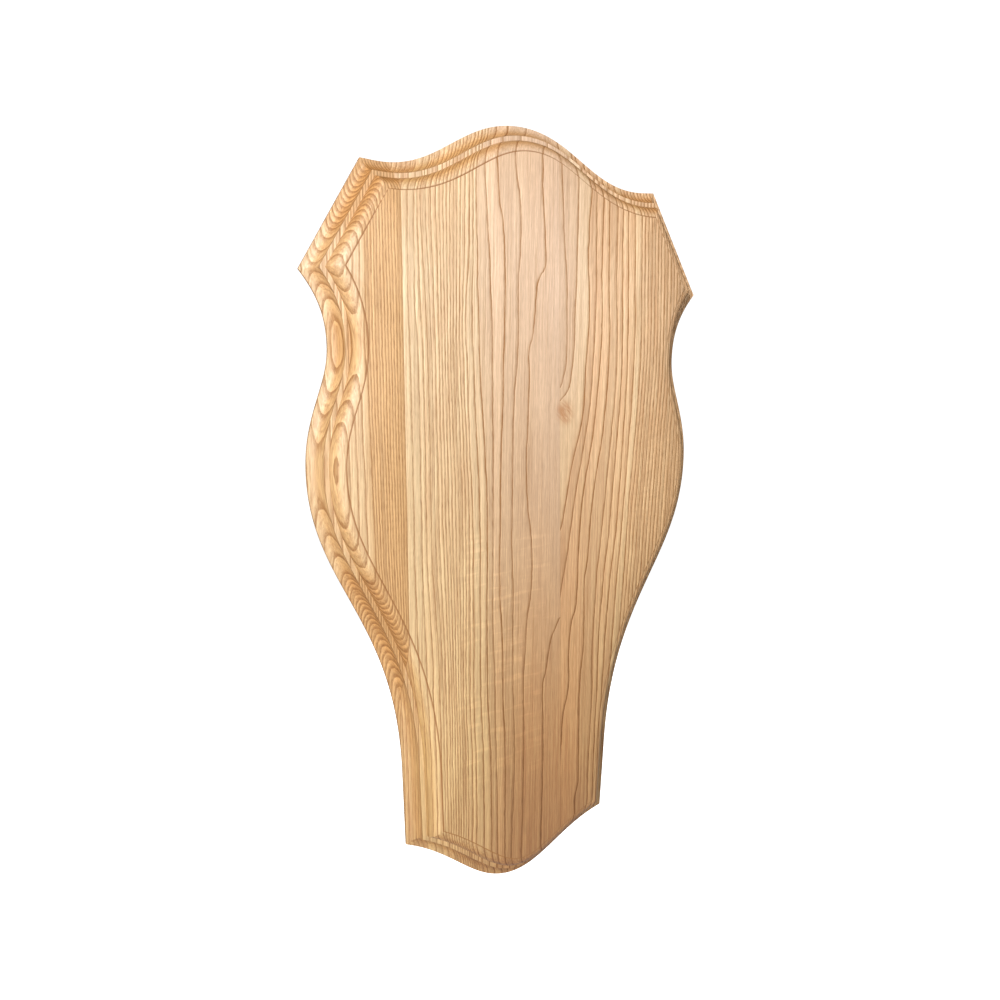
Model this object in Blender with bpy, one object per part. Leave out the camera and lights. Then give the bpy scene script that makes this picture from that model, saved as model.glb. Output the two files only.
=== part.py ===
# Antler mounting plaque: a panel of solid ash with a cove and ovolo moulding run round its edge.
# It hangs upright, with its flat back at y = 0 and its face towards -Y.
# The origin is on the back, level with the widest part, at the mount that holds it to a wall.

from math import cos, pi, sin

import bmesh
import bpy
from mathutils import Vector
from mathutils.geometry import interpolate_bezier, intersect_line_line_2d

# Panel
PANEL_THICKNESS = 0.021

# Outline heights, stacked up from the lower tip, each from the point before it
FOOT_RISE = 0.036  # lower tip to the foot corners
NECK_RISE = 0.050  # foot corners to the top of the straight neck
FLANK_RISE = 0.201  # top of the neck to the belly, the widest part below the wings
WAIST_RISE = 0.068  # belly to the waist
WING_RISE = 0.047  # waist to the wing tips
SHOULDER_RISE = 0.067  # wing tips to the shoulder corners
DIP_DROP = 0.001  # shoulder corners down to the dips beside the crown
CROWN_RISE = 0.032  # dips to the top of the crown

# Outline widths, from edge to edge
FOOT_WIDTH = 0.150
NECK_WIDTH = 0.155
BELLY_WIDTH = 0.280
WAIST_WIDTH = 0.2525
WING_WIDTH = 0.2875
SHOULDER_WIDTH = 0.212
DIP_INSET = 0.014  # shoulder corner in to the lowest point of the dip

# Curves of the outline: how far each handle reaches across and up, as shares of its own stretch
TIP_REACH = (0.35, 0.0)
FOOT_REACH = (0.45, 0.295)
NECK_REACH = 0.53
BELLY_LOWER_REACH = 0.37
BELLY_UPPER_REACH = (0.0, 0.44)
WAIST_LOWER_REACH = (0.0, 0.29)
WAIST_UPPER_REACH = (0.0, 0.42)
WING_REACH = (0.68, 0.30)
SHOULDER_REACH = (0.48, 0.48)
DIP_OUTER_REACH = (0.30, 0.0)
DIP_INNER_REACH = (0.41, 0.0)
CROWN_REACH = (0.43, 0.0)

# Moulding, from the edge inwards: square edge, cove, fillet, ovolo and the step up to the face
EDGE_LAND = 0.002
COVE_WIDTH = 0.008
FILLET_WIDTH = 0.003
OVOLO_WIDTH = 0.0083
OVOLO_HEIGHT = 0.0089
FACE_STEP = 0.0006

# Smoothness of the facets
TRACE_STEP = 0.002  # length of one step while a curve is traced
FACET_LENGTH = 0.006  # length of one facet along the outline
ROUND_STEPS = 7  # facets across the cove and across the ovolo

# Oiled ash
ASH_COLOUR = (0.66, 0.42, 0.22, 1.0)
ASH_ROUGHNESS = 0.5


def remove_all_objects():
    """Empties the scene."""
    for old in list(bpy.data.objects):
        bpy.data.objects.remove(old, do_unlink=True)


def ash_material():
    """Pale ash with a satin oil finish."""
    ash = bpy.data.materials.new("ash_wood")
    ash.use_nodes = True
    shader = ash.node_tree.nodes["Principled BSDF"]
    shader.inputs["Base Color"].default_value = ASH_COLOUR
    shader.inputs["Roughness"].default_value = ASH_ROUGHNESS
    shader.inputs["Metallic"].default_value = 0.0
    ash.diffuse_color = ASH_COLOUR
    return ash


def place(width, height):
    """A point of the outline's right half, across and up from the lower tip."""
    return Vector((width / 2, height))


def curve(start, start_handle, end_handle, end):
    """Points of a smooth stretch, without its first point."""
    steps = max(4, round((end - start).length / TRACE_STEP))
    return interpolate_bezier(start, start_handle, end_handle, end, steps + 1)[1:]


def stretch(start, start_reach, end_reach, end):
    """A smooth stretch whose handles reach over shares of its width and rise."""
    size = end - start
    start_handle = start + Vector((size.x * start_reach[0], size.y * start_reach[1]))
    end_handle = end - Vector((size.x * end_reach[0], size.y * end_reach[1]))
    return curve(start, start_handle, end_handle, end)


def right_sides():
    """The right half of the outline as its four sides: foot, flank, wing and crown."""
    tip = place(0.0, 0.0)
    foot = place(FOOT_WIDTH, FOOT_RISE)
    neck = place(NECK_WIDTH, foot.y + NECK_RISE)
    belly = place(BELLY_WIDTH, neck.y + FLANK_RISE)
    waist = place(WAIST_WIDTH, belly.y + WAIST_RISE)
    wing = place(WING_WIDTH, waist.y + WING_RISE)
    shoulder = place(SHOULDER_WIDTH, wing.y + SHOULDER_RISE)
    dip = place(SHOULDER_WIDTH - 2 * DIP_INSET, shoulder.y - DIP_DROP)
    crown = place(0.0, dip.y + CROWN_RISE)

    # The flank leaves the neck in the neck's own direction
    neck_handle = neck + (neck - foot) * (NECK_REACH * FLANK_RISE / NECK_RISE)
    belly_handle = belly - Vector((0.0, BELLY_LOWER_REACH * FLANK_RISE))

    foot_side = [tip] + stretch(tip, TIP_REACH, FOOT_REACH, foot)
    flank_side = [foot, neck]
    flank_side += curve(neck, neck_handle, belly_handle, belly)
    flank_side += stretch(belly, BELLY_UPPER_REACH, WAIST_LOWER_REACH, waist)
    flank_side += stretch(waist, WAIST_UPPER_REACH, WING_REACH, wing)
    wing_side = [wing, shoulder]
    crown_side = [shoulder] + stretch(shoulder, SHOULDER_REACH, DIP_OUTER_REACH, dip)
    crown_side += stretch(dip, DIP_INNER_REACH, CROWN_REACH, crown)
    return [foot_side, flank_side, wing_side, crown_side]


def inwards_at(side, index):
    """Direction and length of a unit step inwards at one point of a side, mitred between its facets."""
    before = side[index] - side[index - 1] if index > 0 else side[1] - side[0]
    after = side[index + 1] - side[index] if index < len(side) - 1 else before
    normal_before = Vector((-before.y, before.x)).normalized()
    normal_after = Vector((-after.y, after.x)).normalized()
    return (normal_before + normal_after) / (1 + normal_before.dot(normal_after))


def drawn_in(side, distance):
    """A side moved in towards the middle of the panel."""
    moved = [point + inwards_at(side, index) * distance for index, point in enumerate(side)]
    for end in (0, -1):
        if side[end].x == 0.0:
            moved[end].x = 0.0
    return moved


def mitred(side, next_side):
    """Two neighbouring sides cut off at the corner where they cross."""
    for last in range(len(side) - 1, 0, -1):
        for first in range(1, len(next_side)):
            corner = intersect_line_line_2d(
                side[last - 1], side[last], next_side[first - 1], next_side[first],
            )
            if corner:
                return side[:last] + [corner], [corner] + next_side[first:]
    return side, next_side


def evenly(side, count):
    """A side traced again with a number of facets of equal length."""
    lengths = [0.0]
    for point, next_point in zip(side, side[1:]):
        lengths.append(lengths[-1] + (next_point - point).length)
    points = [side[0]]
    piece = 0
    for step in range(1, count):
        wanted = lengths[-1] * step / count
        while lengths[piece + 1] < wanted:
            piece += 1
        share = (wanted - lengths[piece]) / (lengths[piece + 1] - lengths[piece])
        points.append(side[piece].lerp(side[piece + 1], share))
    return points + [side[-1]]


def ring(distance):
    """The outline drawn in by a distance, as a loop up the right side and down the left."""
    outer_sides = right_sides()
    sides = [drawn_in(side, distance) for side in outer_sides]
    if distance > 0.0:
        for index in range(len(sides) - 1):
            sides[index], sides[index + 1] = mitred(sides[index], sides[index + 1])
    right = [sides[0][0]]
    for side, outer_side in zip(sides, outer_sides):
        outer_length = sum((b - a).length for a, b in zip(outer_side, outer_side[1:]))
        facets = round(outer_length / FACET_LENGTH) if len(outer_side) > 2 else 1
        right += evenly(side, facets)[1:]
    left = [Vector((-point.x, point.y)) for point in reversed(right[1:-1])]
    return right + left


def moulding_profile():
    """Each line of the moulding as its distance in from the edge and its height above the back."""
    fillet_height = PANEL_THICKNESS - OVOLO_HEIGHT - FACE_STEP
    cove_height = fillet_height - EDGE_LAND
    ovolo_start = COVE_WIDTH + FILLET_WIDTH
    profile = [(0.0, 0.0), (0.0, EDGE_LAND)]
    for step in range(1, ROUND_STEPS + 1):
        angle = pi / 2 * step / ROUND_STEPS
        profile.append((COVE_WIDTH * sin(angle), fillet_height - cove_height * cos(angle)))
    profile.append((ovolo_start, fillet_height))
    for step in range(1, ROUND_STEPS + 1):
        angle = pi / 2 * step / ROUND_STEPS
        inwards = ovolo_start + OVOLO_WIDTH * (1 - cos(angle))
        profile.append((inwards, fillet_height + OVOLO_HEIGHT * sin(angle)))
    profile.append((ovolo_start + OVOLO_WIDTH, PANEL_THICKNESS))
    return profile


def plaque_board(ash):
    """The moulded panel, one closed solid with z = 0 at the belly."""
    belly_height = FOOT_RISE + NECK_RISE + FLANK_RISE
    solid = bmesh.new()
    lines = []
    for distance, height in moulding_profile():
        points = [(point.x, -height, point.y - belly_height) for point in ring(distance)]
        lines.append([solid.verts.new(point) for point in points])
    for line, inner_line in zip(lines, lines[1:]):
        for index in range(len(line)):
            corners = (line[index - 1], line[index], inner_line[index], inner_line[index - 1])
            solid.faces.new(corners)
    solid.faces.new(reversed(lines[0]))
    solid.faces.new(lines[-1])
    mesh = bpy.data.meshes.new("plaque_board")
    solid.to_mesh(mesh)
    solid.free()
    mesh.materials.append(ash)
    board = bpy.data.objects.new("plaque_board", mesh)
    bpy.context.scene.collection.objects.link(board)
    return board


remove_all_objects()
plaque_board(ash_material())
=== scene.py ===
# %% [markdown]
# ## Antler mounting plaque
# A board of solid ash, glued up from three upright staves, cut to a shield outline and moulded
# round its edge. It could be modelled here from nothing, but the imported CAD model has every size
# already. So it is loaded first as a fixed frame, and everything made here is in metres and lies
# in its right place.

# %% Load the frame
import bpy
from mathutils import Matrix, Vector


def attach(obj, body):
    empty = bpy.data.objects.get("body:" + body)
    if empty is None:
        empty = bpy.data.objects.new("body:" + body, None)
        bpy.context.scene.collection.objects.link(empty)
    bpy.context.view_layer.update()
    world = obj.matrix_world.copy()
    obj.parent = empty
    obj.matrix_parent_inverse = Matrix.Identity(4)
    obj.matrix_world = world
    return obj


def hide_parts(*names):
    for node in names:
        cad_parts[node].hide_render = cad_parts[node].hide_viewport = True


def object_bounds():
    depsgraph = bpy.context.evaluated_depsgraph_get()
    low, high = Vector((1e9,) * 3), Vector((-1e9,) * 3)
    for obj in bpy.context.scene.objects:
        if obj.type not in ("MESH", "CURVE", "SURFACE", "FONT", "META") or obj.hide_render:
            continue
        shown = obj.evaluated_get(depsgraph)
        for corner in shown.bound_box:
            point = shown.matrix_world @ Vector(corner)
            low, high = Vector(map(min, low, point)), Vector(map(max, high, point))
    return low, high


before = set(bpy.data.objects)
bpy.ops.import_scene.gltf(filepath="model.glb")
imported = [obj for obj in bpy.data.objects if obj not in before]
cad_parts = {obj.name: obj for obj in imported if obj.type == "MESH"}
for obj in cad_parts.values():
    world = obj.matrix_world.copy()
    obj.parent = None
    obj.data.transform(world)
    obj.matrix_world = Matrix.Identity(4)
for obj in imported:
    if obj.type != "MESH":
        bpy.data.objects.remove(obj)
cad_low, cad_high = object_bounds()
print("CAD box in mm:", [round(1000 * side, 1) for side in cad_high - cad_low])

# %% [markdown]
# ## The camera
# The photo looks at the board from its left and from slightly above its middle, with a normal
# lens from about 0.65 m away. A camera can be placed by its angles or by the point that it looks
# at. The point is used here, because it stays easy to read, and a small roll is added.

# %% Place the camera
from math import radians

import bpy
from mathutils import Quaternion, Vector

CAMERA_PLACE = Vector((-0.3058, -0.5784, 0.0478))
CAMERA_AIM = Vector((-0.0193, -0.0210, -0.0237))
CAMERA_ROLL = radians(0.783)
CAMERA_LENS = 35.57  # mm
SENSOR_WIDTH = 36.0  # mm

camera = bpy.data.objects.new("camera", bpy.data.cameras.new("camera"))
bpy.context.scene.collection.objects.link(camera)
camera.location = CAMERA_PLACE
looking = (CAMERA_AIM - CAMERA_PLACE).to_track_quat("-Z", "Y")
camera.rotation_mode = "QUATERNION"
camera.rotation_quaternion = looking @ Quaternion((0.0, 0.0, 1.0), CAMERA_ROLL)
camera.data.lens = CAMERA_LENS
camera.data.sensor_width = SENSOR_WIDTH
bpy.context.scene.camera = camera
print("camera to board in m:", round((CAMERA_AIM - CAMERA_PLACE).length, 3))

# %% [markdown]
# ## The floor
# The board is shown alone on a white ground. The ground could be the background alone, but a
# pale floor well below the board is there in views from above too. It glows only for the camera,
# so it shows as white and still doesn't light the wood.

# %% Lay the floor
FLOOR_DROP = 0.9  # below the board's origin
FLOOR_SIZE = 12.0
FLOOR_GREY = (0.7, 0.7, 0.7, 1.0)
FLOOR_ROUGHNESS = 0.8
WHITE = (1.0, 1.0, 1.0, 1.0)

bpy.ops.object.select_all(action="DESELECT")
bpy.ops.mesh.primitive_plane_add(size=FLOOR_SIZE, location=(0.0, 0.0, -FLOOR_DROP))
floor = bpy.context.active_object
floor.name = "floor"
pale_floor = bpy.data.materials.new("pale_floor")
pale_floor.use_nodes = True
paint = pale_floor.node_tree.nodes["Principled BSDF"]
paint.inputs["Base Color"].default_value = FLOOR_GREY
paint.inputs["Roughness"].default_value = FLOOR_ROUGHNESS
paint.inputs["Emission Color"].default_value = WHITE
floor_ray = pale_floor.node_tree.nodes.new("ShaderNodeLightPath")
pale_floor.node_tree.links.new(
    floor_ray.outputs["Is Camera Ray"], paint.inputs["Emission Strength"]
)
floor.data.materials.append(pale_floor)
print("floor:", FLOOR_SIZE, "m wide,", FLOOR_DROP, "m below the board's origin")

# %% [markdown]
# ## The light
# Light from straight ahead would flatten the moulding, so the key lamp stands far to the left,
# in front of the board and above it. It is large, which keeps its shadows soft. The sides of the
# moulding that face right and down fall into shade, and the face is lit evenly. A weak fill
# stands in front, and a third lamp behind lights only the back. The white world shows as the
# ground and fills the shadows only a little.

# %% Set up the lamps and the world
LAMPS = [  # name, place, width in m and power in W
    ("key_lamp", (-2.8, -3.2, 1.75), 1.2, 290.0),
    ("fill_lamp", (-0.6, -2.6, 0.2), 1.6, 16.0),
    ("back_lamp", (0.9, 2.6, 0.8), 1.6, 60.0),
]
SHADOW_FILL = 0.035  # strength of the world as a light
GROUND_WHITE = 1.15  # strength of the world as the camera sees it

for name, place, width, power in LAMPS:
    lamp = bpy.data.objects.new(name, bpy.data.lights.new(name, "AREA"))
    lamp.data.size = width
    lamp.data.energy = power
    lamp.location = place
    lamp.rotation_euler = (-Vector(place)).to_track_quat("-Z", "Y").to_euler()
    bpy.context.scene.collection.objects.link(lamp)

world = bpy.data.worlds.new("white_studio")
world.use_nodes = True
bpy.context.scene.world = world
sky = world.node_tree
ground = sky.nodes["Background"]
ground.inputs["Color"].default_value = WHITE
sky_ray = sky.nodes.new("ShaderNodeLightPath")
brightness = sky.nodes.new("ShaderNodeMapRange")
brightness.inputs["To Min"].default_value = SHADOW_FILL
brightness.inputs["To Max"].default_value = GROUND_WHITE
sky.links.new(sky_ray.outputs["Is Camera Ray"], brightness.inputs["Value"])
sky.links.new(brightness.outputs["Result"], ground.inputs["Strength"])
bpy.context.scene.view_settings.view_transform = "Standard"
print("lamps:", [name for name, place, width, power in LAMPS])

# %% [markdown]
# ## The board
# The real board is one piece of wood with a cove, a flat fillet and an ovolo routed round its
# edge. The CAD node has the right profile in coarse facets. It could be built again from a curve
# and a profile, but a copy of the node keeps every size. The copy is merged, and its face and its
# back become one facet each.

# %% Copy the board and clean the mesh
from math import pi

import bmesh

MERGE_DISTANCE = 0.00001
FLAT_TOLERANCE = 0.00005  # how far a corner may lie from the face or the back

plaque = bpy.data.objects.new("plaque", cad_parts["plaque_board"].data.copy())
bpy.context.scene.collection.objects.link(plaque)
bpy.ops.object.select_all(action="DESELECT")
plaque.select_set(True)
bpy.context.view_layer.objects.active = plaque
bpy.ops.mesh.customdata_custom_splitnormals_clear()
bpy.ops.object.mode_set(mode="EDIT")
bpy.ops.mesh.select_all(action="SELECT")
bpy.ops.mesh.remove_doubles(threshold=MERGE_DISTANCE)
bpy.ops.mesh.select_all(action="DESELECT")
bpy.ops.mesh.select_mode(type="FACE")

for level in (cad_low.y, cad_high.y):
    shape = bmesh.from_edit_mesh(plaque.data)
    for facet in shape.faces:
        facet.select_set(all(abs(corner.co.y - level) < FLAT_TOLERANCE for corner in facet.verts))
    bmesh.update_edit_mesh(plaque.data)
    bpy.ops.mesh.dissolve_faces()
bpy.ops.mesh.select_all(action="SELECT")
bpy.ops.mesh.tris_convert_to_quads(face_threshold=pi, shape_threshold=pi)
shape = bmesh.from_edit_mesh(plaque.data)
corner_counts = sorted({len(facet.verts) for facet in shape.faces})
print("facets:", len(shape.faces), "with these numbers of corners:", corner_counts)

# %% [markdown]
# ## The sharp lines
# On the real moulding the router leaves crisp lines between cove, fillet and ovolo, and mitres at
# the corners of the outline. Subdivision would round them all away. More loops beside each line
# would hold it, but a crease does the same with no extra facets. The mitres are found first, as
# the upright edges where the outer wall turns, and each is followed over the whole moulding.

# %% Crease the mitres and the sharp lines of the moulding
MITRE_TURN = radians(20)
SHARP_LINE = radians(25)
WALL_LEAN = 0.01  # most that the normal of the upright outer wall leans out of its plane

bpy.ops.mesh.select_all(action="DESELECT")
bpy.ops.mesh.select_mode(type="EDGE")
shape = bmesh.from_edit_mesh(plaque.data)
for edge in shape.edges:
    on_wall = all(abs(facet.normal.y) < WALL_LEAN for facet in edge.link_faces)
    edge.select_set(on_wall and edge.calc_face_angle(0.0) > MITRE_TURN)
bmesh.update_edit_mesh(plaque.data)
bpy.ops.mesh.loop_multi_select(ring=False)
bpy.ops.mesh.edges_select_sharp(sharpness=SHARP_LINE)
bpy.ops.transform.edge_crease(value=1.0)
shape = bmesh.from_edit_mesh(plaque.data)
print("creased edges:", sum(edge.select for edge in shape.edges))
bpy.ops.object.mode_set(mode="OBJECT")

# %% [markdown]
# ## Round curves and soft arrises
# The cove and the ovolo are smooth rounds, and every sharp line of sanded wood is a little soft.
# Two levels of subdivision make the rounds. A narrow bevel on the sharp lines could be left out,
# but it is what catches the light along each edge.

# %% Round the mouldings and soften the arrises
ROUND_LEVELS = 2
ARRIS_WIDTH = 0.0002
ARRIS_FACETS = 2
ARRIS_ANGLE = radians(35)
SMOOTH_ANGLE = radians(25)

rounding = plaque.modifiers.new("rounding", "SUBSURF")
rounding.levels = ROUND_LEVELS
rounding.render_levels = ROUND_LEVELS
bpy.ops.object.modifier_apply(modifier="rounding")
softening = plaque.modifiers.new("softening", "BEVEL")
softening.width = ARRIS_WIDTH
softening.segments = ARRIS_FACETS
softening.limit_method = "ANGLE"
softening.angle_limit = ARRIS_ANGLE
bpy.ops.object.modifier_apply(modifier="softening")
bpy.ops.object.shade_smooth_by_angle(angle=SMOOTH_ANGLE)
plaque.data.calc_loop_triangles()
print("plaque triangles:", len(plaque.data.loop_triangles))

# %% [markdown]
# ## The board's place in the frame
# The finished board stands for the CAD node, so the node is hidden and the board rides on the
# same body. It could be joined to the node's object instead, but a CAD object is never changed.

# %% Tie the board to the frame
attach(plaque, "root")
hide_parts("plaque_board")
print("the plaque rides on root and replaces plaque_board")

# %% [markdown]
# ## Building materials in nodes
# Wood has too many small parts for a hand-placed chain of nodes, and a picture of wood would
# stretch over the moulding. So the material is written in code, as many small sums. These
# helpers keep that short: one puts a node in and fills its sockets, some do sums, and one reads a
# value off a curve through a few points, which is how the sway of the grain is given.

# %% Helpers for nodes
def put(tree, kind, fills=None, **settings):
    """Adds a node, sets it up and fills its sockets with links or plain values."""
    node = tree.nodes.new("ShaderNode" + kind)
    for name, value in settings.items():
        setattr(node, name, value)
    for name, value in (fills or {}).items():
        if isinstance(value, bpy.types.NodeSocket):
            tree.links.new(value, node.inputs[name])
        else:
            node.inputs[name].default_value = value
    return node


def sums(tree, operation, *values):
    """One sum of a Math node."""
    return put(tree, "Math", dict(enumerate(values)), operation=operation).outputs[0]


def times(tree, first, *others):
    """The product of two or more values."""
    product = first
    for value in others:
        product = sums(tree, "MULTIPLY", product, value)
    return product


def distance(tree, value, place):
    """How far a value is from a place, on either side of it."""
    return sums(tree, "ABSOLUTE", sums(tree, "SUBTRACT", value, place))


def ramp(tree, value, low, high, out_low=0.0, out_high=1.0, kind="SMOOTHSTEP"):
    """Turns one range of a value into another, held at both ends."""
    fills = {
        "Value": value, "From Min": low, "From Max": high, "To Min": out_low, "To Max": out_high,
    }
    return put(tree, "MapRange", fills, interpolation_type=kind).outputs["Result"]


def plotted(tree, value, points, handle="AUTO_CLAMPED"):
    """Reads a value off a curve through given points, and holds it past both ends."""
    across = [point[0] for point in points]
    up = [point[1] for point in points]
    if len(points) == 2:
        return ramp(tree, value, *across, *up, kind="LINEAR")
    share = ramp(tree, value, across[0], across[-1], kind="LINEAR")
    graph = put(tree, "FloatCurve", {"Value": share})
    line = graph.mapping.curves[0]
    while len(line.points) < len(points):
        line.points.new(0.5, 0.5)
    for spot, x, y in zip(line.points, across, up):
        spot.location = (
            (x - across[0]) / (across[-1] - across[0]), (y - min(up)) / (max(up) - min(up))
        )
        spot.handle_type = handle
    graph.mapping.update()
    return ramp(tree, graph.outputs["Value"], 0.0, 1.0, min(up), max(up), kind="LINEAR")


def new_group(name, inputs, outputs):
    """An empty node group. Inputs are (name, kind, default), and outputs are names of numbers."""
    group = bpy.data.node_groups.new(name, "ShaderNodeTree")
    for title, kind, default in inputs:
        socket = group.interface.new_socket(
            title, in_out="INPUT", socket_type="NodeSocket" + kind
        )
        socket.default_value = default
    for title in outputs:
        group.interface.new_socket(title, in_out="OUTPUT", socket_type="NodeSocketFloat")
    given = group.nodes.new("NodeGroupInput").outputs
    taken = group.nodes.new("NodeGroupOutput").inputs
    return group, given, taken


# %% [markdown]
# ## Where each ring lies
# A board is sawn through the curved rings of a tree, so its face shows them as long lines that
# sway, and its edges show them cut across. Each stave comes from another part of the trunk: the
# left one has narrow rings, the middle one opens out into wide ones, and the right one bows round
# a knot's flame. Noise alone could bend straight lines, but then none lies where it should. So
# the best seen ring lines of each stave are drawn as curves, and the rings between them are
# shared out evenly. The rings lean through the thickness, and the moulding cuts through them as
# the router does, so its arcs and ovals come by themselves.

# %% Joints and lean, in millimetres across from the middle and up from the lower tip
TIP_LEVEL = -1000 * cad_low.z
FACE_LEVEL = -1000 * cad_low.y
LEFT_JOINT = -83.6  # joint between left and middle stave, at the height of the widest part
RIGHT_JOINT = 24.6  # joint between middle and right stave, at the same height
LEFT_JOINT_LEAN = 0.0242  # mm to the left for each mm up
RIGHT_JOINT_LEAN = 0.0256
LEFT_RING_LEAN = 0.87  # mm across for each mm of depth
MIDDLE_RING_LEAN = -0.95
RIGHT_RING_LEAN = 0.25
print("widest part in mm above the lower tip:", round(TIP_LEVEL, 1))

# %% Ring lines of each stave: number of the ring, then (height, place across) along its line
LEFT_LINES = [
    (-9, [(0, -150), (500, -150)]),
    (0, [(150, -104), (225, -107), (270, -109), (320, -111), (500, -114)]),
    (1, [
        (150, -98), (190, -99.5), (225, -102), (270, -104.3), (320, -106.5), (360, -108),
        (440, -110), (500, -111),
    ]),
    (13, [(0, -76.6), (500, -88.8)]),
    (31, [(0, -43), (500, -55)]),
]
MIDDLE_LINES = [
    (-10, [(0, -108), (500, -120)]),
    (0, [(0, -76.6), (500, -88.8)]),
    (1, [
        (60, -71), (180, -75), (220, -77), (300, -79), (350, -80.5), (400, -82.5), (500, -83.5),
    ]),
    (2, [
        (60, -66), (160, -69), (200, -71), (240, -72.5), (320, -74.5), (360, -76), (400, -78.5),
        (500, -79),
    ]),
    (4, [
        (60, -57), (160, -60.5), (200, -63.5), (240, -66), (330, -68.3), (370, -70), (400, -72),
        (440, -74.5), (500, -76),
    ]),
    (7, [
        (60, -51), (160, -54), (240, -58), (310, -60.5), (380, -62.5), (450, -65), (500, -66),
    ]),
    (14, [
        (60, -38.6), (100, -39.5), (140, -41.4), (200, -42), (260, -43), (290, -44.5),
        (320, -46), (340, -47.5), (400, -48.5), (500, -48),
    ]),
    (16, [
        (60, -32.7), (100, -34), (140, -35.9), (200, -36.8), (240, -37.5), (275, -39),
        (310, -41.2), (350, -43), (380, -44.3), (420, -42.3), (500, -43),
    ]),
    (18, [
        (40, -21.5), (100, -23.2), (140, -25.9), (200, -27.1), (240, -27.6), (265, -28),
        (285, -29.2), (305, -30.6), (325, -32.3), (340, -33.6), (365, -34.9), (390, -35.8),
        (420, -36.9), (464, -38.3), (500, -38.6),
    ]),
    (19, [
        (35, -17), (70, -18.2), (110, -19.5), (140, -20.5), (180, -22.5), (240, -23.5),
        (280, -24), (330, -25), (370, -26), (390, -27), (425, -29), (450, -31), (475, -32.5),
        (500, -33),
    ]),
    (20, [
        (40, -11.5), (100, -12.6), (120, -13.8), (140, -14.8), (165, -15.5), (185, -16.5),
        (200, -17.8), (220, -18.3), (290, -18.5), (320, -17.8), (350, -17.5), (385, -17),
        (410, -17.5), (435, -19), (450, -22), (470, -23.5), (500, -25),
    ]),
    (21, [
        (45, -6.5), (70, -5.5), (90, -5.5), (120, -6.5), (150, -7.5), (200, -8.3), (220, -9),
        (250, -10), (300, -10), (330, -9.5), (350, -8), (380, -7.5), (400, -8), (415, -7),
        (430, -6.5), (445, -7), (462, -9.5), (475, -11), (500, -12),
    ]),
    (22, [
        (40, 1), (60, 1.5), (100, 1.5), (120, 1), (140, 0.5), (165, 1.5), (180, 2), (190, 3),
        (200, 4.5), (215, 5.2), (240, 4), (260, 1.5), (275, 0.3), (290, 0), (310, 0.5),
        (340, 1), (355, 0.5), (365, 2.5), (375, 4), (395, 5), (405, 7.5), (410, 10.5),
        (415, 11.5), (425, 11), (445, 9.5), (460, 8.5), (475, 8), (500, 7),
    ]),
    (23, [
        (50, 16), (80, 16.5), (110, 16), (135, 15), (145, 17), (160, 19.5), (168, 21),
        (175, 24), (182, 27), (195, 36), (500, 36),
    ]),
    (24, [(50, 34), (182, 44), (500, 60)]),
]
RIGHT_LINES = [
    (-2, [(0, -20), (320, -20), (328, 8), (335, 16), (360, 19), (500, 14)]),
    (-1, [
        (0, -10), (318, -10), (324, 4), (328, 15), (332, 20.5), (340, 26), (360, 28.5),
        (400, 27.5), (420, 26), (445, 24), (500, 21),
    ]),
    (0, [
        (0, 0), (300, 0), (320, 16), (328, 25.5), (332, 29), (338, 31.5), (345, 32.5),
        (360, 33.8), (390, 34.3), (440, 35), (500, 34),
    ]),
    (1, [
        (0, 5), (200, 10), (230, 20), (240, 25.5), (243, 27), (250, 28.5), (262, 30.5),
        (278, 33), (292, 36), (305, 39.5), (318, 42), (330, 42.8), (345, 43.2), (360, 44),
        (380, 45), (400, 44.5), (420, 43.3), (440, 43.5), (465, 45), (500, 45),
    ]),
    (2, [
        (0, 8), (130, 12), (170, 20), (195, 27), (208, 29), (222, 31.5), (240, 34), (270, 38.5),
        (300, 43.5), (315, 46), (330, 47.5), (345, 48.5), (400, 50), (420, 49.5), (500, 48),
    ]),
    (3, [
        (50, 29), (70, 30), (110, 31), (120, 32.5), (128, 34.5), (140, 35.5), (155, 35),
        (170, 35.5), (180, 37), (190, 39.8), (240, 41.5), (260, 43), (275, 45), (290, 47.5),
        (305, 50), (330, 52.5), (350, 54), (375, 55), (420, 54), (500, 55),
    ]),
    (4, [
        (55, 42.5), (62, 44), (70, 44.7), (130, 44), (140, 44.3), (150, 45.5), (165, 46.5),
        (180, 46.3), (205, 46), (215, 47.5), (255, 50.5), (285, 54.5), (300, 57), (330, 60),
        (350, 61), (365, 61.5), (400, 60), (440, 59), (500, 58.5),
    ]),
    (5, [
        (70, 52.5), (100, 53.5), (130, 54), (150, 53.5), (180, 54.3), (205, 55.5), (225, 57.5),
        (270, 61.5), (310, 65), (330, 66.5), (360, 67.5), (400, 66), (430, 65.5), (500, 65),
    ]),
    (7, [
        (100, 61), (185, 65), (210, 67), (240, 70.5), (300, 74), (330, 75.5), (360, 76),
        (420, 74.5), (500, 73),
    ]),
    (9, [
        (100, 72), (185, 76.5), (240, 79.5), (300, 83.5), (330, 85.5), (360, 86.8), (420, 85.5),
        (500, 83.5),
    ]),
    (19, [(150, 103), (230, 107), (300, 110.5), (370, 113), (440, 112), (500, 110)]),
    (33, [(0, 150), (500, 150)]),
]
print("ring lines drawn:", len(LEFT_LINES) + len(MIDDLE_LINES) + len(RIGHT_LINES))

# %% [markdown]
# ## Tones of the rings
# Some rings are creamy and some rosy or amber, and some lines are strong and some faint. One
# colour for each stave would look flat, and chance would put the pale rings anywhere. So each
# tone is a small curve over the ring number. The width of a ring needs no curve: it is the room
# between the drawn lines on either side, and it keeps the brown lines at their real thickness.

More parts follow.
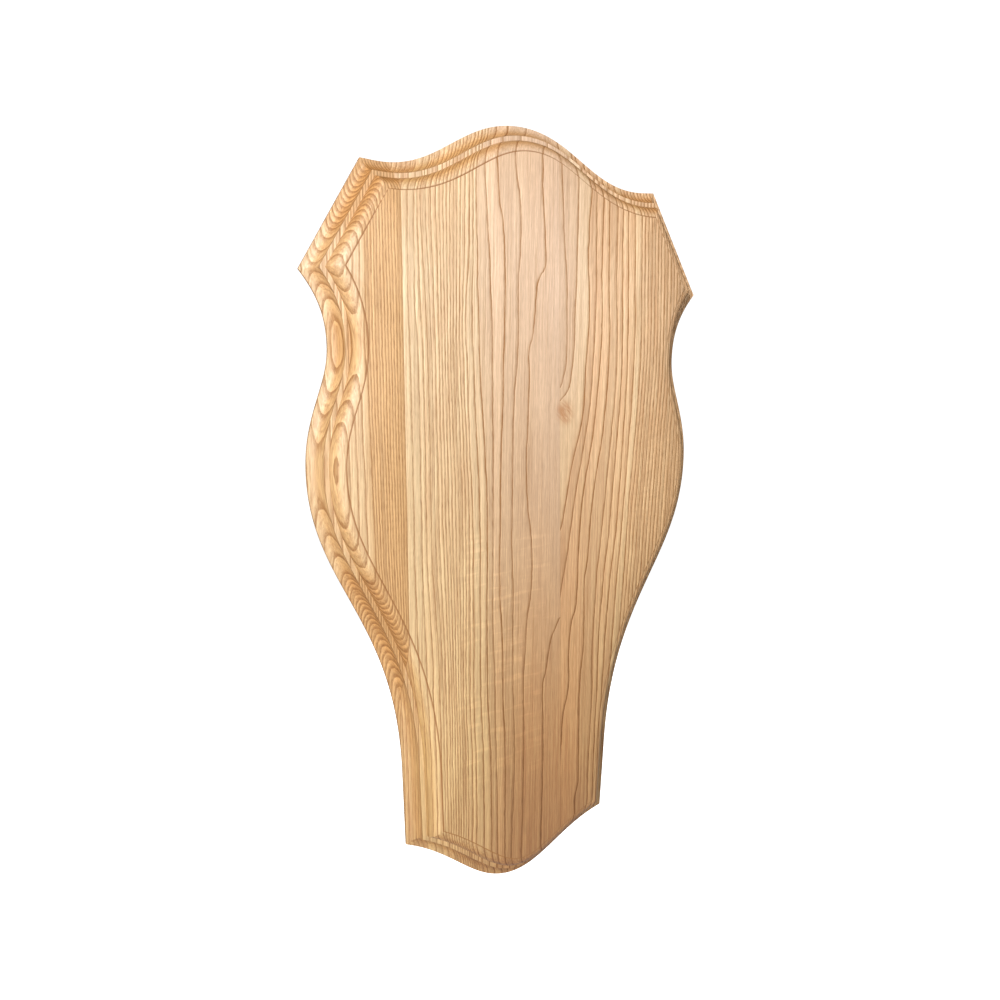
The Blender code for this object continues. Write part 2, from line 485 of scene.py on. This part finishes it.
# %% Tones and strengths as (ring number, value)
LEFT_CREAM = [(-9, 0.75), (-0.1, 0.7), (0.1, 0.85), (0.9, 0.8), (1.1, 0.3), (12, 0.3), (31, 0.5)]
MIDDLE_CREAM = [
    (-10, 0.5), (-0.1, 0.5), (0.0, 0.95), (2.0, 0.9), (3.0, 0.75), (15.9, 0.75), (16.1, 1.0),
    (17.5, 0.95), (18.2, 0.65), (20, 0.45), (21, 0.5), (22, 0.3), (24, 0.3),
]
RIGHT_CREAM = [
    (-2, 0.3), (-0.05, 0.45), (0, 0.9), (0.9, 0.8), (1, 0.2), (3, 0.3), (5, 0.4), (8.0, 0.4),
    (8.1, 0.75), (8.9, 0.7), (9.0, 0.4), (33, 0.3),
]

LEFT_STRENGTH = [(-9, 0.85), (1, 0.9), (1.5, 0.85), (31, 0.85)]
MIDDLE_STRENGTH = [(-10, 0.8), (0, 0.65), (3, 0.75), (12, 0.82), (18, 1.0), (24, 1.0)]
RIGHT_STRENGTH = [(-2, 0.9), (1, 1.0), (5, 1.0), (9, 0.95), (33, 0.9)]

# From -1 for rosy through 0 to 1 for amber
LEFT_HUE = [(-9, 0.05), (0, 0.15), (1, 0.85), (13, 1.0), (31, 0.2)]
MIDDLE_HUE = [(-10, 0.0), (14, 0.0), (17, -0.2), (19, -0.6), (22, -0.7), (23, -1.0), (24, -1.0)]
RIGHT_HUE = [(-2, -0.8), (0, -0.5), (1, -0.2), (4, -0.1), (9, 0.1), (33, 0.4)]
print("values for creaminess:", len(LEFT_CREAM) + len(MIDDLE_CREAM) + len(RIGHT_CREAM))

# %% [markdown]
# ## The three staves
# The staves of the real board are glued side by side before it is shaped. They could be three
# pieces with three materials, but the board is one solid. So one node group works out all three
# patterns at each point and keeps that of the stave which the point is in.

# %% Helpers for the staves
NARROWEST_RING = 1.0  # mm
NOISE_ROUGHNESS = 0.55


def joint_side(tree, across, height, place, lean):
    """How far a point lies to the right of a leaning joint."""
    risen = sums(tree, "SUBTRACT", height, TIP_LEVEL)
    return sums(tree, "SUBTRACT", sums(tree, "MULTIPLY_ADD", risen, lean, across), place)


def ring_count(tree, across, height, lines):
    """Ring number of a point, counted from line to line, and the width of its ring in mm."""
    places = [plotted(tree, height, points) for number, points in lines]
    numbers = [number for number, points in lines]
    counted, ring_width = numbers[0], 0.0
    for index in range(len(lines) - 1):
        step = numbers[index + 1] - numbers[index]
        near, far = places[index], places[index + 1]
        share = ramp(tree, across, near, far, kind="LINEAR")
        counted = sums(tree, "MULTIPLY_ADD", share, step, counted)
        past_near = sums(tree, "GREATER_THAN", share, 0.0)
        before_far = sums(tree, "LESS_THAN", share, 1.0)
        inside = times(tree, past_near, before_far)
        room = sums(tree, "DIVIDE", sums(tree, "SUBTRACT", far, near), step)
        ring_width = sums(tree, "MULTIPLY_ADD", inside, room, ring_width)
    return counted, sums(tree, "MAXIMUM", ring_width, NARROWEST_RING)


def pick_stave(tree, in_left, in_right, left, middle, right):
    """One of three values, by the stave that the point is in."""
    chosen = put(tree, "Mix", {"Factor": in_left, "A": middle, "B": left}).outputs["Result"]
    return put(tree, "Mix", {"Factor": in_right, "A": chosen, "B": right}).outputs["Result"]


def grain_noise(tree, across, depth, height, fineness, length, detail):
    """Noise drawn out along the grain: fineness is per mm across, length is in mm."""
    spot = put(tree, "CombineXYZ", {
        "X": times(tree, across, fineness),
        "Y": times(tree, depth, fineness),
        "Z": sums(tree, "DIVIDE", height, length),
    })
    fills = {
        "Vector": spot.outputs["Vector"],
        "Scale": 1.0,
        "Detail": detail,
        "Roughness": NOISE_ROUGHNESS,
    }
    return put(tree, "TexNoise", fills).outputs["Fac"]


def swayed(tree, value, noise, reach):
    """A value moved by a noise, up to a reach to either side."""
    return sums(tree, "MULTIPLY_ADD", sums(tree, "SUBTRACT", noise, 0.5), 2 * reach, value)


# %% Group that lays the three staves side by side
WANDER = 0.7  # mm that the rings between the drawn lines stray
WANDER_GRAIN = (0.07, 30.0, 2.0)  # fineness per mm across, length in mm and detail of its noise
RIPPLE = 0.34  # mm that every line wavers
RIPPLE_GRAIN = (0.4, 7.0, 2.0)
GLUE_LINE = (0.05, 0.3)  # mm from a joint where its line is full and where it has faded

STAVES = (
    (LEFT_RING_LEAN, LEFT_LINES, LEFT_CREAM, LEFT_STRENGTH, LEFT_HUE),
    (MIDDLE_RING_LEAN, MIDDLE_LINES, MIDDLE_CREAM, MIDDLE_STRENGTH, MIDDLE_HUE),
    (RIGHT_RING_LEAN, RIGHT_LINES, RIGHT_CREAM, RIGHT_STRENGTH, RIGHT_HUE),
)
STAVE_VALUES = ("Rings", "Ring Width", "Cream", "Strength", "Hue", "Across")

staves_group, given, taken = new_group(
    "three_staves", [("Position", "Vector", (0.0, 0.0, 0.0))], STAVE_VALUES + ("Joint",)
)
tree = staves_group
split = put(tree, "SeparateXYZ", {"Vector": given["Position"]}).outputs
across, depth, height = split["X"], split["Y"], split["Z"]
left_side = joint_side(tree, across, height, LEFT_JOINT, LEFT_JOINT_LEAN)
right_side = joint_side(tree, across, height, RIGHT_JOINT, RIGHT_JOINT_LEAN)
in_left = sums(tree, "LESS_THAN", left_side, 0.0)
in_right = sums(tree, "GREATER_THAN", right_side, 0.0)
wander = grain_noise(tree, across, depth, height, *WANDER_GRAIN)
ripple = grain_noise(tree, across, depth, height, *RIPPLE_GRAIN)
strayed = swayed(tree, swayed(tree, across, wander, WANDER), ripple, RIPPLE)

by_stave = []
for lean, lines, cream, strength, hue in STAVES:
    on_face = sums(tree, "MULTIPLY_ADD", depth, lean, strayed)
    count, width = ring_count(tree, on_face, height, lines)
    tones = [plotted(tree, count, points, "VECTOR") for points in (cream, strength, hue)]
    by_stave.append((count, width, *tones, on_face))
for name, values in zip(STAVE_VALUES, zip(*by_stave)):
    tree.links.new(pick_stave(tree, in_left, in_right, *values), taken[name])

nearest = sums(
    tree, "MINIMUM", sums(tree, "ABSOLUTE", left_side), sums(tree, "ABSOLUTE", right_side)
)
tree.links.new(ramp(tree, nearest, *GLUE_LINE, 1.0, 0.0), taken["Joint"])
print("stave group nodes:", len(tree.nodes))

# %% [markdown]
# ## Rings, pores and streaks
# In ash each year starts with a row of wide pores, seen as a brown line of short dashes, and goes
# on into smooth pale wood that darkens a little at its end. A wave texture would repeat one soft
# stripe. This group turns a ring number into the zones of a year instead, and adds pores and
# fine streaks that run with the grain. Where the cutter crosses the grain, the same pores show as
# dots, because they are long thin cells in space.

# %% Names and sizes of the figure, in millimetres where not said otherwise
LINE_CORE = 0.4  # full brown at the sharp edge of a ring line
LINE_FADE = 1.0  # over which it then fades
LINE_EDGE = 0.12  # softness of that sharp edge
CORE_DEPTH = 0.55  # share of brown in the core
SHADE_SHARE = 0.6  # share of the ring that lies in its soft shade
SHADE_MOST = 2.8  # the widest shade
SHADE_RINGS = (3.0, 7.0)  # widths of a ring between which the shade deepens
SHADE_DEPTHS = (0.36, 0.52)  # share of brown in the shade of such rings
LINE_CHANCE = (0.8, 1.1)  # how faint and how strong chance makes a line
BREAK_DEPTHS = (0.7, 1.05)  # the same along one line
FALSE_LINE = 0.4  # strength of the odd extra line within a ring
FALSE_PLACES = (0.3, 0.62)  # share of the ring between which it lies
FALSE_WIDTH = (0.12, 0.45)  # from its middle, where it is full and where it has faded
FALSE_RINGS = (3.0, 6.5)  # widths of a ring between which it weakens
FALSE_LEAST = 0.25  # to this share
LATE_WIDTH = 1.2  # over which the dense wood past a line fades
PORES_IN_PALE = 0.22  # share of the pores that show between the lines

# Fineness per mm across, length in mm and detail of each noise along the grain
FALSE_GRAIN = (0.2, 45.0, 2.0)
BREAK_GRAIN = (0.3, 25.0, 2.0)
PORE_GRAIN = (2.4, 7.0, 1.0)
FINE_GRAIN = (1.25, 110.0, 2.0)
STREAK_GRAIN = (0.9, 60.0, 4.0)
FLECK_GRAIN = (1.7, 9.0, 2.0)
CLOUD_GRAIN = (0.06, 200.0, 2.0)
print("thickness of a ring line in mm:", round(LINE_CORE + LINE_FADE, 2))

# %% Group for the rings, pores and streaks
figure_group, given, taken = new_group(
    "ash_figure",
    [
        ("Rings", "Float", 0.0),
        ("Ring Width", "Float", 3.0),
        ("Strength", "Float", 1.0),
        ("Across", "Float", 0.0),
        ("Position", "Vector", (0.0, 0.0, 0.0)),
    ],
    (
        "Early Wood", "Late Wood", "Pores", "Fine Lines", "Streaks", "Flecks", "Clouds", "Chance",
    ),
)
tree = figure_group
split = put(tree, "SeparateXYZ", {"Vector": given["Position"]}).outputs
body = (given["Across"], split["Y"], split["Z"])
ring_width = given["Ring Width"]
count = sums(tree, "FLOOR", given["Rings"])
part_way = sums(tree, "FRACT", given["Rings"])
chance = put(tree, "TexWhiteNoise", {"W": count}, noise_dimensions="1D").outputs["Value"]

# The brown line, sharp towards the next ring and soft towards its own
past_line = times(tree, part_way, ring_width)
to_line = sums(tree, "SUBTRACT", ring_width, past_line)
sharp_edge = ramp(tree, to_line, 0.0, LINE_EDGE)
core = ramp(tree, to_line, LINE_CORE, LINE_CORE + LINE_FADE, 1.0, 0.0)
shade_width = sums(tree, "MINIMUM", times(tree, ring_width, SHADE_SHARE), SHADE_MOST)
shade = ramp(tree, sums(tree, "DIVIDE", to_line, shade_width), 0.0, 1.0, 1.0, 0.0)
shade_depth = ramp(tree, ring_width, *SHADE_RINGS, *SHADE_DEPTHS)
early = sums(tree, "ADD", times(tree, core, CORE_DEPTH), times(tree, shade, shade_depth))
line_chance = ramp(tree, chance, 0.0, 1.0, *LINE_CHANCE, "LINEAR")
early = times(tree, early, sharp_edge, given["Strength"], line_chance)

# The odd extra line within a ring
false_place = ramp(tree, chance, 0.0, 1.0, *FALSE_PLACES, "LINEAR")
from_false = times(tree, distance(tree, part_way, false_place), ring_width)
false_line = times(
    tree,
    ramp(tree, from_false, *FALSE_WIDTH, FALSE_LINE, 0.0),
    ramp(tree, ring_width, *FALSE_RINGS, 1.0, FALSE_LEAST, "LINEAR"),
    ramp(tree, grain_noise(tree, *body, *FALSE_GRAIN), 0.40, 0.62),
)
broken = ramp(tree, grain_noise(tree, *body, *BREAK_GRAIN), 0.3, 0.6, *BREAK_DEPTHS, "LINEAR")
early = times(tree, sums(tree, "MAXIMUM", early, false_line), broken)

pore_cells = ramp(tree, grain_noise(tree, *body, *PORE_GRAIN), 0.48, 0.62)
for name, value in (
    ("Early Wood", early),
    ("Late Wood", ramp(tree, past_line, 0.0, LATE_WIDTH, 1.0, 0.0)),
    ("Pores", times(tree, pore_cells, ramp(tree, early, 0.05, 0.5, PORES_IN_PALE, 1.0))),
    ("Fine Lines", ramp(tree, grain_noise(tree, *body, *FINE_GRAIN), 0.53, 0.68)),
    ("Streaks", grain_noise(tree, *body, *STREAK_GRAIN)),
    ("Flecks", grain_noise(tree, *body, *FLECK_GRAIN)),
    ("Clouds", grain_noise(tree, *body, *CLOUD_GRAIN)),
    ("Chance", chance),
):
    tree.links.new(value, taken[name])
print("figure group nodes:", len(tree.nodes))

# %% [markdown]
# ## Tones of the pale wood
# The staves differ in tone: the left one is amber, and the middle one is yellowish at its left and
# pinkish at its right. One colour ramp could carry all of that only if every tone lay on one line.
# So four colours are mixed, by how creamy, rosy or amber each ring is, and then made lighter and
# darker by streaks, flecks and broad clouds. They end in one Principled shader.

# %% Start the material and lay its tones
CREAM = (0.75, 0.565, 0.36, 1.0)
TAN = (0.68, 0.41, 0.235, 1.0)
ROSE = (0.67, 0.485, 0.35, 1.0)
AMBER = (0.62, 0.385, 0.19, 1.0)
CREAM_DRIFT = 0.35  # how much the streaks make a ring more or less creamy
ROSE_HEIGHTS = (100.0, 270.0)  # mm above the lower tip between which the rosy tone grows
ROSE_LEAST = 0.1  # share of it that is left at the foot
MIDDLING = (0.35, 0.65)  # range in which most of a noise lies


def blend(tree, amount, first, second, kind="MIX"):
    """Mixes two colours."""
    node = put(tree, "MixRGB", {"Fac": amount, "Color1": first, "Color2": second}, blend_type=kind)
    return node.outputs["Color"]


ash = bpy.data.materials.new("oiled_ash")
ash.use_nodes = True
tree = ash.node_tree
shader = tree.nodes["Principled BSDF"]
surface = put(tree, "TexCoord").outputs
measured = put(tree, "Mapping", {
    "Vector": surface["Object"],
    "Scale": (1000, 1000, 1000),
    "Location": (0, FACE_LEVEL, TIP_LEVEL),
}).outputs["Vector"]
split = put(tree, "SeparateXYZ", {"Vector": measured}).outputs
across, depth, height = split["X"], split["Y"], split["Z"]
stave = put(tree, "Group", {"Position": measured}, node_tree=staves_group).outputs
ring_values = {name: stave[name] for name in ("Rings", "Ring Width", "Strength", "Across")}
wood = put(tree, "Group", {"Position": measured, **ring_values}, node_tree=figure_group).outputs

drift = ramp(tree, wood["Streaks"], *MIDDLING, -CREAM_DRIFT, CREAM_DRIFT, "LINEAR")
creamy = put(tree, "Math", {0: stave["Cream"], 1: drift}, operation="ADD", use_clamp=True)
pale_wood = blend(tree, creamy.outputs[0], TAN, CREAM)
rosy = times(
    tree,
    ramp(tree, stave["Hue"], -1.0, 0.0, 1.0, 0.0, "LINEAR"),
    ramp(tree, height, *ROSE_HEIGHTS, ROSE_LEAST, 1.0),
)
pale_wood = blend(tree, rosy, pale_wood, ROSE)
amber = ramp(tree, stave["Hue"], 0.0, 1.0, kind="LINEAR")
pale_wood = blend(tree, amber, pale_wood, AMBER)
print("tone nodes:", len(tree.nodes))

# %% [markdown]
# ## Ripples of curly grain
# Low on the middle stave the fibres wave, and the light catches them as faint level ripples.
# Waves in the surface would be wrong, because the wood is planed flat. So they are a noise that
# is stretched across the grain, with a slight slope, and only brighten the tone.

# %% Ripples of curly grain low on the middle stave, and all light and dark together
CURL_SLOPE = 0.10  # mm that a ripple rises for each mm across
CURL_GRAIN = (0.04, 4.0, 2.0)
CURL_ACROSS = -15.0  # mm from the middle of the board to that of the ripples
CURL_REACH = (20.0, 42.0)  # mm to either side where they start to fade and where they are gone
CURL_HEIGHT = 160.0  # mm from the lower tip to the middle of the ripples
CURL_RISE = (60.0, 110.0)  # mm up and down where they start to fade and where they are gone

rolled = sums(tree, "MULTIPLY_ADD", across, -CURL_SLOPE, height)
curl = times(
    tree,
    ramp(tree, grain_noise(tree, across, depth, rolled, *CURL_GRAIN), 0.50, 0.70),
    ramp(tree, distance(tree, across, CURL_ACROSS), *CURL_REACH, 1.0, 0.0),
    ramp(tree, distance(tree, height, CURL_HEIGHT), *CURL_RISE, 1.0, 0.0),
)
light_and_dark = times(
    tree,
    ramp(tree, wood["Late Wood"], 0.0, 1.0, 1.0, 1.08, "LINEAR"),
    ramp(tree, wood["Chance"], 0.0, 1.0, 0.92, 1.06, "LINEAR"),
    ramp(tree, wood["Streaks"], *MIDDLING, 0.90, 1.09, "LINEAR"),
    ramp(tree, wood["Flecks"], *MIDDLING, 0.92, 1.08, "LINEAR"),
    ramp(tree, wood["Clouds"], 0.3, 0.7, 0.95, 1.04, "LINEAR"),
    ramp(tree, curl, 0.0, 1.0, 0.98, 1.13, "LINEAR"),
)
toned = put(
    tree, "VectorMath", {0: pale_wood, "Scale": light_and_dark}, operation="SCALE"
).outputs["Vector"]
print("nodes with light and dark:", len(tree.nodes))

# %% [markdown]
# ## The knot's flame
# Where the first line of the right stave bends away, the fibres swirl round a small knot that
# lies below the surface, and show as a reddish smudge. It could be painted on as a spot, but then
# it would be a plain oval. So a soft oval mask is broken up by a slanting noise.

# %% The small flame where the first line of the right stave bends away
FLAME_BROWN = (0.46, 0.23, 0.11, 1.0)
FLAME_PLACE = (27.5, 319.0)  # mm across from the middle and up from the lower tip
FLAME_SIZE = (7.0, 9.0)
FLAME_SPREAD = (0.2, 1.3)  # shares of that size where it starts to fade and where it is gone
FLAME_DEPTH = (0.5, 3.0)  # mm below the face where it starts to fade and where it is gone
SWIRL_SLANT = 0.9
SWIRL_GRAIN = (0.15, 2.2, 2.0)

flame_x = sums(tree, "DIVIDE", sums(tree, "SUBTRACT", across, FLAME_PLACE[0]), FLAME_SIZE[0])
flame_z = sums(tree, "DIVIDE", sums(tree, "SUBTRACT", height, FLAME_PLACE[1]), FLAME_SIZE[1])
squares = sums(tree, "MULTIPLY_ADD", flame_x, flame_x, times(tree, flame_z, flame_z))
from_flame = sums(tree, "SQRT", squares)
slanted = sums(tree, "MULTIPLY_ADD", across, SWIRL_SLANT, height)
swirl = grain_noise(tree, across, depth, slanted, *SWIRL_GRAIN)
flame = times(
    tree,
    ramp(tree, from_flame, *FLAME_SPREAD, 1.0, 0.0),
    ramp(tree, swirl, 0.35, 0.62, 0.35, 1.0),
    ramp(tree, depth, *FLAME_DEPTH, 1.0, 0.0),
)
toned = blend(tree, flame, toned, FLAME_BROWN)
print("nodes with the flame:", len(tree.nodes))

# %% [markdown]
# ## Brown lines and joints
# The oil makes the ring lines and the open pores dark, and a hair of glue shows at each joint.
# They could be grooves, but they are far finer than the mesh. So they are browns laid over the
# tone, each in a share of its own, from the faintest lines to the pores.

# %% Lines, pores and joints
LINE_BROWN = (0.31, 0.145, 0.042, 1.0)
PORE_BROWN = (0.23, 0.10, 0.03, 1.0)
FINE_SHARE = 0.36
PORE_SHARE = 0.42
GLUE_SHARE = 0.4

thin_lined = blend(tree, times(tree, wood["Fine Lines"], FINE_SHARE), toned, LINE_BROWN)
lined = blend(tree, wood["Early Wood"], thin_lined, LINE_BROWN)
pored = blend(tree, times(tree, wood["Pores"], PORE_SHARE), lined, PORE_BROWN)
glued = blend(tree, times(tree, stave["Joint"], GLUE_SHARE), pored, LINE_BROWN)
print("nodes with the lines:", len(tree.nodes))

# %% [markdown]
# ## Warmer towards the foot, with painted shade
# The real board turns yellower towards its foot, and browner where the heart of the tree was, to
# the right of the middle. Both tints also darken the lower board as painted shade, where the light
# falls off towards the foot and the lower right. The lamps could make that shade, but here it is
# painted into the colour along with the tone. So two tints are multiplied in by height and by the
# distance from the heart.

# %% Tints and painted shade towards the foot and the heart
# wood tone and painted shade: yellower and darker towards the foot
FOOT_TINT_AND_SHADE = (0.88, 0.85, 0.66, 1.0)
FOOT_HEIGHTS = (400.0, 90.0)  # mm above the lower tip where it starts and where it is full
# wood tone and painted shade: browner and darker low down, right of the middle
HEART_TINT_AND_SHADE = (0.58, 0.46, 0.38, 1.0)
HEART_SHADE_HEIGHTS = (400.0, 20.0)
HEART_SHADE_PLACE = 18.0  # mm to the right of the middle
HEART_SHADE_REACH = (8.0, 75.0)  # mm to either side where it starts to fade and where it is least
HEART_SHADE_SHARES = (1.15, 0.5)

foot = ramp(tree, height, *FOOT_HEIGHTS, kind="LINEAR")
yellowed_and_shaded = blend(tree, foot, glued, FOOT_TINT_AND_SHADE, "MULTIPLY")
low_down = ramp(tree, height, *HEART_SHADE_HEIGHTS, kind="LINEAR")
off_heart_shade = distance(tree, across, HEART_SHADE_PLACE)
# painted shade darkens the lower right along with the heart's tone
heart_and_shade = times(tree, low_down, ramp(tree, off_heart_shade, *HEART_SHADE_REACH, *HEART_SHADE_SHARES))
warm_and_shaded = blend(tree, heart_and_shade, yellowed_and_shaded, HEART_TINT_AND_SHADE, "MULTIPLY")
print("nodes with the tints:", len(tree.nodes))

# %% [markdown]
# ## End grain, and painted shade in the corners and the quirk
# Cut across the grain the wood drinks more oil and looks darker. Shade that falls into the corners
# of the moulding beside the fillet and into the quirk, the small step round the face, is painted on
# as brown. A second material on those facets would show a hard seam, so the surface's own
# direction says where the oil sits, and its depth says where the painted shade lies.

# %% End grain, and painted shade in the corners and the quirk round the face
END_GRAIN_TINT = (0.84, 0.70, 0.52, 1.0)
END_GRAIN_TURN = (0.05, 0.7)  # how far a facet turns up or down where that starts and is full
CUT_TINT = (0.96, 0.88, 0.74, 1.0)
CUT_TURN = (0.55, 0.98)  # how far a facet faces forwards where that is full and where it is gone
# painted shade: brown laid into the corners over and under the fillet
CORNER_SHADE_BROWN = (0.26, 0.13, 0.045, 1.0)
CORNER_SHADE_SHARE = 0.5
CORNER_SHADE_BANDS = ((8.2, 9.3, 9.42, 9.5), (9.52, 9.6, 9.8, 11.3))  # mm deep, over and under the fillet
# painted shade: brown laid into the quirk round the face
QUIRK_SHADE_BROWN = (0.24, 0.10, 0.025, 1.0)
QUIRK_SHADE_SHARE = 0.85
QUIRK_SHADE_BAND = (0.02, 0.08, 0.63, 0.78)


def band(tree, value, starts, full, fades, gone):
    """A mask that rises over one stretch of a value and falls over a later one."""
    return times(tree, ramp(tree, value, starts, full), ramp(tree, value, fades, gone, 1.0, 0.0))


facing = put(tree, "SeparateXYZ", {"Vector": surface["Normal"]}).outputs
end_grain = ramp(tree, sums(tree, "ABSOLUTE", facing["Z"]), *END_GRAIN_TURN, kind="LINEAR")
oil_and_shade = blend(tree, end_grain, warm_and_shaded, END_GRAIN_TINT, "MULTIPLY")
moulded = ramp(tree, sums(tree, "ABSOLUTE", facing["Y"]), *CUT_TURN, 1.0, 0.0)
oil_and_shade = blend(tree, moulded, oil_and_shade, CUT_TINT, "MULTIPLY")
# painted shade in the corners over and under the fillet
for corner_shade_band in CORNER_SHADE_BANDS:
    corner = band(tree, depth, *corner_shade_band)
    oil_and_shade = blend(tree, times(tree, corner, CORNER_SHADE_SHARE), oil_and_shade, CORNER_SHADE_BROWN)
# painted shade in the quirk round the face
quirk = band(tree, depth, *QUIRK_SHADE_BAND)
finished = blend(tree, times(tree, quirk, QUIRK_SHADE_SHARE), oil_and_shade, QUIRK_SHADE_BROWN)
print("nodes with the oil:", len(tree.nodes))

# %% [markdown]
# ## The back
# Nobody sees the back, so it is only planed and oiled thinly: paler, duller and faintly marked
# across by the planer's knives. A second material could stand for it, but one that knows which
# way a facet faces changes over smoothly at the edge.

# %% The back, planed and left with less oil
DRY_ASH = (0.62, 0.50, 0.37, 1.0)
DRY_SHARE = 0.4
BACK_TURN = (0.9, 0.99)  # how far a facet faces backwards where the dry wood starts and is full
PLANER_PITCH = 3.2  # mm from one planer mark to the next

back = ramp(tree, facing["Y"], *BACK_TURN)
planer_wave = sums(tree, "SINE", times(tree, height, 2 * pi / PLANER_PITCH))
planer = sums(tree, "MULTIPLY_ADD", planer_wave, 0.5, 0.5)
finished = blend(tree, times(tree, back, DRY_SHARE), finished, DRY_ASH)
tree.links.new(finished, shader.inputs["Base Color"])
print("nodes with the back:", len(tree.nodes))

# %% [markdown]
# ## Sheen and relief
# Oil leaves a satin sheen that is duller over the open pores, and the pores are tiny hollows. At
# this size they can't be mesh, so a shallow bump stands for them, and for the planer marks.

# %% Sheen and relief of the ash
SMOOTH_ROUGHNESS = 0.48
PORE_ROUGHNESS = 0.62
BACK_ROUGHER = 0.2
LINE_RELIEF = 0.3  # depth of the ring lines and of the planer marks, as shares of a pore's
PLANER_RELIEF = 0.25
BUMP_STRENGTH = 0.35
BUMP_DISTANCE = 0.0003

roughness = ramp(
    tree, wood["Early Wood"], 0.0, 1.0, SMOOTH_ROUGHNESS, PORE_ROUGHNESS, "LINEAR"
)
roughness = sums(tree, "MULTIPLY_ADD", back, BACK_ROUGHER, roughness)
tree.links.new(roughness, shader.inputs["Roughness"])
relief = sums(tree, "ADD", wood["Pores"], times(tree, wood["Early Wood"], LINE_RELIEF))
relief = sums(tree, "ADD", relief, times(tree, planer, back, PLANER_RELIEF))
bump = put(tree, "Bump", {
    "Height": times(tree, relief, -1.0),
    "Strength": BUMP_STRENGTH,
    "Distance": BUMP_DISTANCE,
})
tree.links.new(bump.outputs["Normal"], shader.inputs["Normal"])
plaque.data.materials.clear()
plaque.data.materials.append(ash)
print("ash material nodes:", len(tree.nodes))
